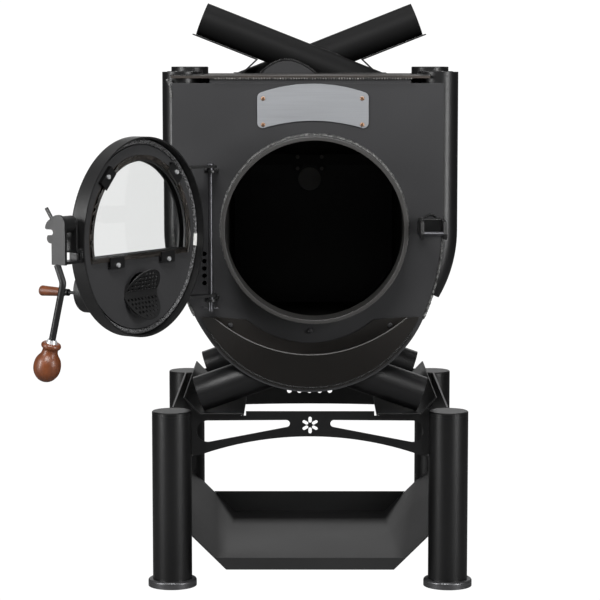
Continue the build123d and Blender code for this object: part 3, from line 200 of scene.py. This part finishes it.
floor_paper = Finish("floor_paper", Base_Color=(paper_grey, paper_grey, paper_grey, 1), Roughness=0.9)
paper_glow = floor_paper.node("ShaderNodeEmission", {}, {"Color": (1, 1, 1, 1), "Strength": paper_white})
sight = Wire(floor_paper, seen_white(floor_paper.tree))
dim_paper = Wire(floor_paper, floor_paper.shader.outputs[0])
lit_paper = floor_paper.node("ShaderNodeMixShader", {}, {0: sight, 1: dim_paper, 2: paper_glow})
paper_end = floor_paper.tree.nodes["Material Output"]
floor_paper.join(lit_paper, paper_end.inputs["Surface"])
floor_mesh = bpy.data.meshes.new("floor")
corners = [(x * floor_half, y * floor_half, 0) for x, y in ((-1, -1), (1, -1), (1, 1), (-1, 1))]
floor_mesh.from_pydata(corners, [], [(0, 1, 2, 3)])
floor_mesh.materials.append(floor_paper.material)
floor = bpy.data.objects.new("floor", floor_mesh)
bpy.context.scene.collection.objects.link(floor)
floor.location.z = -floor_drop

# Stand: four painted tubes with welded caps, laser-cut cross-members, side rails and folded cradle
# rails. The feet are turned steel rings left in dark bare metal.


def dress(finish, *names):
    """Gives CAD nodes a finish."""
    for name in names:
        nodes[name].data.materials.clear()
        nodes[name].data.materials.append(finish.material)


def heat_paint(name, dark, light, roughness):
    """Sprayed heat-proof paint: a fine dry grain over faint broad cloudiness."""
    paint = Finish(name)
    cloud, cloud_spread = paint.noise(5.0, 3.0), 0.12
    speckle, speckle_spread = paint.noise(900.0), 0.1
    speckle_depth = 0.00012
    smoothest = roughness - (cloud_spread + speckle_spread) / 2
    paint.wear(
        Base_Color=paint.blend(cloud, dark, light),
        Roughness=cloud * cloud_spread + speckle * speckle_spread + smoothest,
        Normal=paint.relief(speckle, speckle_depth),
    )
    return paint


stand_paint = heat_paint("stand_paint", (0.0012, 0.0012, 0.0013), (0.0032, 0.0032, 0.0035), 0.37)
dress(stand_paint, "legs", "leg_caps", "front_cross_member", "rear_cross_member")
dress(stand_paint, "side_rails", "cradle_rails")
foot_steel = Finish("foot_steel", Metallic=0.85)
turning = foot_steel.noise(60.0, 2.0, (1, 1, 14))
foot_steel.wear(
    Base_Color=foot_steel.blend(turning, (0.10, 0.10, 0.105), (0.17, 0.17, 0.175)),
    Roughness=turning * 0.14 + 0.3,
)
dress(foot_steel, "feet")

# Wood tray: one sheet of steel with its sides folded up, sprayed black and a little drier than the
# legs. It lies between them near the floor and holds the split logs.
tray_paint = heat_paint("tray_paint", (0.011, 0.011, 0.011), (0.018, 0.018, 0.0185), 0.46)
dress(tray_paint, "wood_tray")

# Body: a shell bent round the fire, welded between a front and a rear plate and closed by a top plate.
# All of it is sprayed with matt heat-proof black, browned by heat at the lip and the ash scoop.
body_paint = heat_paint("body_paint", (0.024, 0.024, 0.025), (0.034, 0.034, 0.036), 0.44)
dress(body_paint, "front_plate", "firebox_shell", "rear_plate", "header_bar", "crossing_saddle")
dress(body_paint, "ash_lip_screws")
scoop_paint = heat_paint("scoop_paint", (0.010, 0.0085, 0.0073), (0.017, 0.0148, 0.013), 0.42)
dress(scoop_paint, "ash_lip_plate", "ash_scoop")
# The collar of the mouth is painted a little lighter than the body, as a painted highlight for its bright
# rims.
collar_highlight_paint = heat_paint("collar_highlight_paint", (0.035, 0.034, 0.033), (0.060, 0.058, 0.056), 0.38)
dress(collar_highlight_paint, "door_collar")

# The top plate is worn brown in streaks that run along it.
lip_paint = Finish("lip_paint", Roughness=0.46)
wear_patch = lip_paint.noise(14.0, 6.0, (1, 6, 6))
wear_rough = lip_paint.noise(300.0, 3.0)
wear_depth = 0.0003
lip_paint.wear(
    Base_Color=lip_paint.blend(wear_patch * 2.0 - 0.5, (0.014, 0.0135, 0.013), (0.050, 0.040, 0.033)),
    Normal=lip_paint.relief(wear_rough, wear_depth),
)
dress(lip_paint, "top_plate")

# Air tubes: steel tubes bent round the body and welded to it, in the same paint but glossier. The two
# outlet tubes that cross over the top plate are drier, and are painted darker as painted shade.
tube_paint = heat_paint("tube_paint", (0.0030, 0.0030, 0.0032), (0.0065, 0.0065, 0.007), 0.36)
dress(tube_paint, "air_tubes_left", "air_tubes_right")
# The outlet tubes' darker colour is painted shade: it is the same paint as the other tubes, made darker.
outlet_shaded_paint = heat_paint("outlet_shaded_paint", (0.0007, 0.0007, 0.0008), (0.0018, 0.0018, 0.0020), 0.60)
outlet_gloss = 0.22
outlet_shaded_paint.wear(Specular_IOR_Level=outlet_gloss)
dress(outlet_shaded_paint, "outlet_tube_to_left", "outlet_tube_to_right")
dress(tube_paint, "outlet_collars", "air_inlets_front", "air_inlets_rear", "flue_spigot", "heat_guards")

# Firebox inside: the liner, the baffle above it and its keeper, in the dry paint of the shop. The cover
# of the rear port and the bolts are bare and grey, so they show faintly through the mouth.
inner_paint = heat_paint("inner_paint", (0.010, 0.0095, 0.009), (0.018, 0.017, 0.016), 0.55)
dress(inner_paint, "firebox_liner", "baffle_plate", "baffle_keeper")
cover_steel = heat_paint("cover_steel", (0.22, 0.21, 0.20), (0.34, 0.33, 0.32), 0.40)
dress(cover_steel, "keeper_bolts", "rear_port_cover")

# Name plate: cut from brushed stainless sheet and left bare, with the brush marks running across it.
# Four copper-coloured rivets hold it to the front plate.
plate_steel = Finish("plate_steel", Metallic=1.0)
brushing = plate_steel.noise(30.0, 4.0, (0.4, 1, 26))
plate_steel.wear(
    Base_Color=plate_steel.blend(brushing, (0.34, 0.35, 0.365), (0.44, 0.45, 0.47)),
    Roughness=brushing * 0.14 + 0.5,
    Normal=plate_steel.relief(brushing, 0.00004),
)
dress(plate_steel, "name_plate")
rivet_copper = Finish("rivet_copper", Metallic=1.0)
rivet_tone = rivet_copper.noise(300.0)
rivet_copper.wear(
    Base_Color=rivet_copper.blend(rivet_tone, (0.52, 0.27, 0.15), (0.72, 0.45, 0.30)),
    Roughness=rivet_tone * 0.1 + 0.28,
)
dress(rivet_copper, "name_plate_rivets")

# Hinge, catch, latch and air valve: sawn and drilled flat steel in satin black. The hinge rod, its
# washers and cotter and the catch pin are oiled dark steel, and the screws are plated with zinc.
fitting_steel = heat_paint("fitting_steel", (0.005, 0.005, 0.005), (0.010, 0.010, 0.0105), 0.36)
dress(fitting_steel, "hinge_brackets", "catch_bracket", "door_leaves", "latch_carrier", "latch_claw")
dress(fitting_steel, "latch_pivot_pin", "latch_rod", "glass_clips")
dress(fitting_steel, "valve_bridge", "valve_disc", "valve_rod")
zinc = Finish("zinc", Metallic=0.55)
zinc_tone = zinc.noise(140.0)
zinc.wear(
    Base_Color=zinc.blend(zinc_tone, (0.60, 0.61, 0.62), (0.85, 0.86, 0.87)),
    Roughness=zinc_tone * 0.12 + 0.22,
)
dress(zinc, "clip_screws", "grip_ferrule")
rod_steel = Finish("rod_steel", Metallic=0.9)
rod_tone = rod_steel.noise(90.0, 3.0)
rod_steel.wear(
    Base_Color=rod_steel.blend(rod_tone, (0.07, 0.07, 0.075), (0.13, 0.13, 0.14)),
    Roughness=rod_tone * 0.15 + 0.26,
)
dress(rod_steel, "hinge_rod", "catch_pin", "hinge_washers", "hinge_cotter")

# Door: a round steel pan with a flat inner plate, sprayed like the body. A pane of clear heat-proof
# glass lies on a dark strip and is held by four clips, above a perforated spark guard.
door_paint = heat_paint("door_paint", (0.006, 0.006, 0.006), (0.012, 0.012, 0.0125), 0.42)
dress(door_paint, "door_shell", "intake_pipe")
guard_paint = heat_paint("guard_paint", (0.010, 0.010, 0.010), (0.017, 0.017, 0.0175), 0.40)
dress(guard_paint, "spark_guard")
# The inner plate is painted lighter than the door shell: a painted highlight for the light that falls on it
# from the right front.
pan_lit_paint = heat_paint("pan_lit_paint", (0.030, 0.030, 0.031), (0.042, 0.042, 0.044), 0.45)
dress(pan_lit_paint, "inner_door_plate")
pane_tint = (0.80, 0.81, 0.805, 1)
pane_glass = Finish("pane_glass", Base_Color=pane_tint, Roughness=0.02, IOR=1.45, Transmission_Weight=1.0)
dress(pane_glass, "door_glass")
strip_black = Finish("strip_black", Roughness=0.6)
strip_tone = strip_black.noise(260.0)
strip_black.wear(Base_Color=strip_black.blend(strip_tone, (0.030, 0.024, 0.020), (0.085, 0.068, 0.058)))
dress(strip_black, "glass_seal")

# Rope seal: a round braid of dark glass yarn laid in the channel of the door, its two ends joined by
# a wrap of white glass tape beside the hinge. Strands wind both ways round a plain core.
door_turn = radians(122.8)
along = Vector((cos(door_turn), -sin(door_turn), 0))
inward = Vector((sin(door_turn), cos(door_turn), 0))
upward = Vector((0, 0, 1))
hinge_foot = Vector((-0.1872, -0.361, 0))
seal_reach, seal_depth, seal_height = 0.1952, -0.0198, 0.697
seal_centre = hinge_foot + along * seal_reach + inward * seal_depth + upward * seal_height
seal_ring = 0.172
full_turn = 2 * pi
core_thick = 0.0028
strand_count, strand_turns = 8, 34
strand_core, strand_thick = 0.0027, 0.0016
tape_start, tape_end, tape_thick = pi + 0.03, pi + 0.16, 0.0047
yarn = Finish("yarn", Roughness=0.75)
# Bright flecks on the dark yarn: partly its pale fibres, partly painted glints.
yarn_fleck_and_glint = yarn.noise(380.0, 3.0)
yarn_depth = 0.0003
yarn.wear(
    Base_Color=yarn.blend(yarn_fleck_and_glint * 4.0 - 1.6, (0.006, 0.006, 0.006), (0.20, 0.20, 0.205)),
    Normal=yarn.relief(yarn_fleck_and_glint, yarn_depth),
)
tape_weave = Finish("tape_weave", Roughness=0.8)
tape_cross = tape_weave.noise(900.0, 2.0, (1, 1, 3))
tape_depth = 0.0002
tape_weave.wear(
    Base_Color=tape_weave.blend(tape_cross, (0.62, 0.62, 0.60), (0.9, 0.9, 0.88)),
    Normal=tape_weave.relief(tape_cross, tape_depth),
)


def make_mesh(name, points, faces, finish, body):
    """A finished piece from points and faces, riding on a body."""
    mesh = bpy.data.meshes.new(name)
    mesh.from_pydata([tuple(p) for p in points], [], faces)
    mesh.validate()
    piece = bpy.data.objects.new(name, mesh)
    bpy.context.scene.collection.objects.link(piece)
    mesh.materials.append(finish.material)
    mesh.shade_smooth()
    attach(piece, body)
    return piece


def ring_tube(points, faces, start, end, steps, sides, place):
    """Adds a tube whose rings come from place(angle round the door, angle round the tube)."""
    first = len(points)
    closed = end - start == full_turn
    spans = steps if closed else steps - 1
    for step in range(steps):
        phi = start + (end - start) * step / spans
        points += [place(phi, 2 * pi * side / sides) for side in range(sides)]
    for step in range(spans):
        here, ahead = first + step * sides, first + (step + 1) % steps * sides
        for side in range(sides):
            other = (side + 1) % sides
            faces.append((here + side, ahead + side, ahead + other, here + other))


def strand_place(hand, turns, lead, core, thick):
    """Place on one strand that winds round the rope's core."""

    def place(phi, round_angle):
        spoke = along * cos(phi) + upward * sin(phi)
        run = upward * cos(phi) - along * sin(phi)
        wind = hand * turns * phi + lead
        ray = spoke * cos(wind) + inward * sin(wind)
        lean = inward * cos(wind) - spoke * sin(wind)
        path = (run * seal_ring + lean * (core * hand * turns)).normalized()
        side = path.cross(ray)
        skin = ray * cos(round_angle) + side * sin(round_angle)
        return seal_centre + spoke * seal_ring + ray * core + skin * thick

    return place


def plain_place(thick):
    """Place on a plain round rope."""

    def place(phi, round_angle):
        spoke = along * cos(phi) + upward * sin(phi)
        reach = spoke * (seal_ring + thick * cos(round_angle))
        return seal_centre + reach - inward * (thick * sin(round_angle))

    return place


braid_points, braid_faces = [], []
ring_tube(braid_points, braid_faces, 0, full_turn, 120, 10, plain_place(core_thick))
for strand in range(strand_count):
    hand = 1 if strand % 2 else -1
    lead = full_turn * strand / strand_count
    winding = strand_place(hand, strand_turns, lead, strand_core, strand_thick)
    ring_tube(braid_points, braid_faces, 0, full_turn, 440, 5, winding)
braid = make_mesh("rope_braid", braid_points, braid_faces, yarn, "door")
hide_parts("rope_seal")
tape_points, tape_faces = [], []
ring_tube(tape_points, tape_faces, tape_start, tape_end, 8, 16, plain_place(tape_thick))
make_mesh("rope_tape", tape_points, tape_faces, tape_weave, "door")

# Wooden grip and knob: turned hardwood with its grain along the turning axis, stained red-brown and
# varnished to a soft gloss. They are pushed on the ends of the latch rod and the valve rod.
varnished = Finish("varnished", Coat_Weight=0.35, Coat_Roughness=0.28)
grain = varnished.noise(42.0, 5.0, (1.0, 1.0, 0.16))
pores = varnished.noise(420.0, 2.0, (1.0, 1.0, 0.08))
figure = grain * 1.3 + pores * 0.4 - 0.38
varnished.wear(
    Base_Color=varnished.blend(figure, (0.040, 0.010, 0.003), (0.27, 0.072, 0.018)),
    Roughness=pores * 0.15 + 0.36,
)
dress(varnished, "latch_grip", "valve_knob")

# Cut and folded steel: the edges of every plate and strap are filed round before painting, so that
# each one catches a thin line of light. Same shapes as the solids, with their sharp edges rounded.
merge_reach = 1e-6
flat_turn, edge_turn, shade_turn = radians(0.4), radians(50), radians(38)
plate_edge, cut_edge, thin_edge = 0.0013, 0.0007, 0.0006


def round_off(width, body, slot, *names):
    """Puts a copy with rounded edges in the place of each node, in the same finish."""
    for name in names:
        form = bmesh.new()
        form.from_mesh(nodes[name].data)
        bmesh.ops.remove_doubles(form, verts=form.verts, dist=merge_reach)
        bmesh.ops.dissolve_limit(form, angle_limit=flat_turn, verts=form.verts, edges=form.edges)
        whole = [edge for edge in form.edges if len(edge.link_faces) == 2]
        sharp = [edge for edge in whole if edge.calc_face_angle() > edge_turn]
        bmesh.ops.bevel(
            form, geom=sharp, offset=width, segments=2, profile=0.5, affect="EDGES", clamp_overlap=True
        )
        cut = bpy.data.meshes.new(name + "_cut")
        form.to_mesh(cut)
        form.free()
        cut.shade_smooth()
        cut.set_sharp_from_angle(angle=shade_turn)
        cut.materials.append(nodes[name].data.materials[0])
        piece = bpy.data.objects.new(name + "_cut", cut)
        bpy.context.scene.collection.objects.link(piece)
        even = piece.modifiers.new("even_shade", "WEIGHTED_NORMAL")
        even.keep_sharp = True
        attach(piece, body)
        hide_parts(name)


round_off(plate_edge, "stove", "black_plate", "front_plate", "top_plate")
round_off(cut_edge, "stove", "black_plate", "ash_lip_plate", "catch_bracket", "hinge_brackets")
round_off(cut_edge, "stove", "black_plate", "rear_plate")
round_off(cut_edge, "stove", "black_stand", "front_cross_member", "rear_cross_member")
round_off(cut_edge, "stove", "black_stand", "side_rails", "cradle_rails", "wood_tray")
round_off(thin_edge, "stove", "bare_plate", "name_plate")
round_off(thin_edge, "door", "black_plate", "door_leaves", "latch_carrier", "glass_clips")
round_off(cut_edge, "latch", "black_plate", "latch_claw")

# Weld seams: hand-laid beads along the corners where plates and tubes meet, sprayed over with the
# paint. Each is a row of overlapping ripples, laid along the sharp edges that two solids share, and
# with bright painted highlights in flecks at the lip, round the mouth and along the edges of the front
# plate.
bead_paint = heat_paint("bead_paint", (0.010, 0.010, 0.010), (0.022, 0.022, 0.022), 0.3)
# The bright flecks on the beads of the lip are painted glints.
bead_highlight = Finish("bead_highlight", Roughness=0.35)
bead_glint = bead_highlight.noise(160.0, 2.0)
bead_highlight.wear(Base_Color=bead_highlight.blend(bead_glint * 3.0 - 1.1, (0.02, 0.02, 0.02), (0.40, 0.385, 0.365)))
# The light flecks on the beads round the mouth and along the front plate's edges are painted highlights.
bead_sheen = Finish("bead_sheen", Roughness=0.32)
sheen_speck = bead_sheen.noise(220.0, 2.0)
bead_sheen.wear(Base_Color=bead_sheen.blend(sheen_speck * 3.0 - 1.1, (0.02, 0.02, 0.02), (0.20, 0.20, 0.195)))
seam_turn = radians(30)
seam_reach = 0.0007
smallest_ripple, largest_ripple = (0.8, 0.8, 0.5), (1.15, 1.15, 0.75)


def shared_edges(node, other, keep):
    """The sharp edges of one CAD node that lie against another, as points and pairs."""
    form = bmesh.new()
    form.from_mesh(nodes[node].data)
    bmesh.ops.remove_doubles(form, verts=form.verts, dist=merge_reach)
    near = bmesh.new()
    near.from_mesh(nodes[other].data)
    skin = BVHTree.FromBMesh(near)
    points, pairs, known = [], [], {}
    for edge in form.edges:
        if len(edge.link_faces) != 2 or edge.calc_face_angle() < seam_turn:
            continue
        ends = [v.co for v in edge.verts]
        spots = [*ends, (ends[0] + ends[1]) / 2]
        if not all(keep(p) and skin.find_nearest(p, seam_reach)[0] for p in spots):
            continue
        for v in edge.verts:
            if v.index not in known:
                known[v.index] = len(points)
                points.append(v.co.copy())
        pairs.append(tuple(known[v.index] for v in edge.verts))
    form.free()
    near.free()
    return points, pairs


def bead_tree():
    """Geometry Nodes that set ripples along edges, with their width, spacing and seed as inputs."""
    tree = bpy.data.node_groups.new("weld_bead", "GeometryNodeTree")
    ports = tree.interface
    ports.new_socket("Seam", in_out="INPUT", socket_type="NodeSocketGeometry")
    for label in ("Width", "Spacing"):
        ports.new_socket(label, in_out="INPUT", socket_type="NodeSocketFloat")
    ports.new_socket("Seed", in_out="INPUT", socket_type="NodeSocketInt")
    ports.new_socket("Paint", in_out="INPUT", socket_type="NodeSocketMaterial")
    ports.new_socket("Beads", in_out="OUTPUT", socket_type="NodeSocketGeometry")
    add = tree.nodes.new
    link = tree.links.new
    start, end = add("NodeGroupInput"), add("NodeGroupOutput")
    line = add("GeometryNodeMeshToCurve")
    steps = add("GeometryNodeResampleCurve")
    steps.mode = "LENGTH"
    lay = add("GeometryNodeInstanceOnPoints")
    drop = add("GeometryNodeMeshUVSphere")
    drop.inputs["Segments"].default_value = 7
    drop.inputs["Rings"].default_value = 5
    along = add("GeometryNodeInputTangent")
    turn = add("FunctionNodeAlignRotationToVector")
    turn.axis = "Z"
    size = add("FunctionNodeRandomValue")
    size.data_type = "FLOAT_VECTOR"
    size.inputs[0].default_value = smallest_ripple
    size.inputs[1].default_value = largest_ripple
    real = add("GeometryNodeRealizeInstances")
    paint = add("GeometryNodeSetMaterial")
    smooth = add("GeometryNodeSetShadeSmooth")
    link(start.outputs["Seam"], line.inputs[0])
    link(line.outputs[0], steps.inputs["Curve"])
    link(start.outputs["Spacing"], steps.inputs["Length"])
    link(start.outputs["Width"], drop.inputs["Radius"])
    link(start.outputs["Seed"], size.inputs["Seed"])
    link(along.outputs[0], turn.inputs["Vector"])
    link(steps.outputs[0], lay.inputs["Points"])
    link(drop.outputs[0], lay.inputs["Instance"])
    link(turn.outputs[0], lay.inputs["Rotation"])
    link(size.outputs[0], lay.inputs["Scale"])
    link(lay.outputs[0], real.inputs[0])
    link(real.outputs[0], smooth.inputs[0])
    link(smooth.outputs[0], paint.inputs[0])
    link(start.outputs["Paint"], paint.inputs["Material"])
    link(paint.outputs[0], end.inputs[0])
    return tree


bead_nodes = bead_tree()


def always(point):
    return True


def weld(name, body, seams, width=0.0026, spacing=0.0034, seed=1, runs=(), finish=bead_paint):
    """One piece of weld beads along the shared edges of several pairs of nodes, and along given runs."""
    points, pairs = [], []
    for run in runs:
        pairs += [(len(points) + step, len(points) + step + 1) for step in range(len(run) - 1)]
        points += run
    for node, other, keep in seams:
        more, joined = shared_edges(node, other, keep)
        pairs += [(a + len(points), b + len(points)) for a, b in joined]
        points += more
    mesh = bpy.data.meshes.new(name)
    mesh.from_pydata(points, pairs, [])
    piece = bpy.data.objects.new(name, mesh)
    bpy.context.scene.collection.objects.link(piece)
    layer = piece.modifiers.new("beads", "NODES")
    layer.node_group = bead_nodes
    values = {"Width": width, "Spacing": spacing, "Seed": seed, "Paint": finish.material}
    for item in bead_nodes.interface.items_tree:
        if item.name in values and item.in_out == "INPUT":
            layer[item.identifier] = values[item.name]
    bpy.context.view_layer.update()
    laid = bpy.data.meshes.new_from_object(piece.evaluated_get(bpy.context.evaluated_depsgraph_get()))
    piece.modifiers.clear()
    piece.data = laid
    laid.name = name
    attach(piece, body)
    return piece


def above(height):
    return lambda point: point.z > height


def before(depth):
    return lambda point: point.y < depth


plate_face = -0.3095
weld("front_seams", "stove", [
    ("catch_bracket", "front_plate", always),
    ("hinge_brackets", "front_plate", always),
    ("ash_scoop", "ash_lip_plate", always),
])
mouth_edges = [("front_plate", "door_collar", before(plate_face))]
weld("mouth_seam", "stove", mouth_edges, width=0.0042, spacing=0.0026, finish=bead_sheen)

lip_face, lip_left, lip_right, lip_under = -0.3262, -0.182, 0.19, 0.9797
lip_run = [Vector((x, lip_face, lip_under)) for x in (lip_left, lip_right)]
header_front = -0.3045
lip_edges = [("header_bar", "top_plate", before(header_front))]
weld("lip_seam", "stove", lip_edges, width=0.0019, spacing=0.0050, seed=2, runs=[lip_run], finish=bead_highlight)

arc_x, arc_y, arc_z = 0.229, -0.311, 0.714
arc_wide, arc_high = 0.011, 0.009
half_turn = [radians(step * 15 + 5) for step in range(12)]
catch_arc = [
    Vector((arc_x + arc_wide * cos(turn), arc_y, arc_z + arc_high * sin(turn))) for turn in half_turn
]
weld("catch_seam", "stove", [], width=0.0028, spacing=0.0035, seed=4, runs=[catch_arc])

saddle_front, saddle_top = 0.1505, 0.9853


def saddle_arch(point):
    return point.y < saddle_front and point.z > saddle_top


arch_edges = [("crossing_saddle", "crossing_saddle", saddle_arch)]
weld("arch_seam", "stove", arch_edges, width=0.003, spacing=0.0036)

edge_x, edge_low, edge_high = 0.207, 0.52, 0.966


def plate_sides(point):
    return point.y < plate_face and abs(point.x) > edge_x and edge_low < point.z < edge_high


edge_pairs = [("front_plate", "front_plate", plate_sides)]
weld("edge_seams", "stove", edge_pairs, width=0.0027, spacing=0.0019, finish=bead_sheen)
corner_run = [
    Vector((-0.270, -0.308, 0.977)),
    Vector((-0.2645, plate_face, edge_high)),
    Vector((-0.2618, plate_face, 0.945)),
]
weld("corner_seam", "stove", [], width=0.003, spacing=0.0022, seed=3, runs=[corner_run], finish=bead_sheen)

air_tubes = ("air_tubes_left", "air_tubes_right")
outlet_tubes = ("outlet_tube_to_left", "outlet_tube_to_right")
plate_top, crossing_low = 0.9845, 0.985
weld("top_seams", "stove", [("top_plate", tube, above(plate_top)) for tube in air_tubes + outlet_tubes])
weld("crossing_seam", "stove", [("outlet_tube_to_right", "outlet_tube_to_left", above(crossing_low))])
weld("shell_seams_front", "stove", [
    *[("front_plate", tube, always) for tube in air_tubes],
    ("firebox_shell", "front_plate", always),
])
weld("shell_seams_rear", "stove", [
    ("firebox_shell", "rear_plate", always),
    ("flue_spigot", "rear_plate", always),
])
weld("tube_seams", "stove", [("firebox_shell", tube, always) for tube in air_tubes], spacing=0.004)
inlets = ("air_inlets_front", "air_inlets_rear")
weld("inlet_seams", "stove", [(inlet, "firebox_shell", always) for inlet in inlets])
beams = ("front_cross_member", "rear_cross_member", "side_rails")
weld("stand_seams", "stove", [(beam, "legs", always) for beam in beams])
door_fixings = ("door_leaves", "latch_carrier", "intake_pipe")
weld("door_seams", "door", [(fixing, "door_shell", always) for fixing in door_fixings])
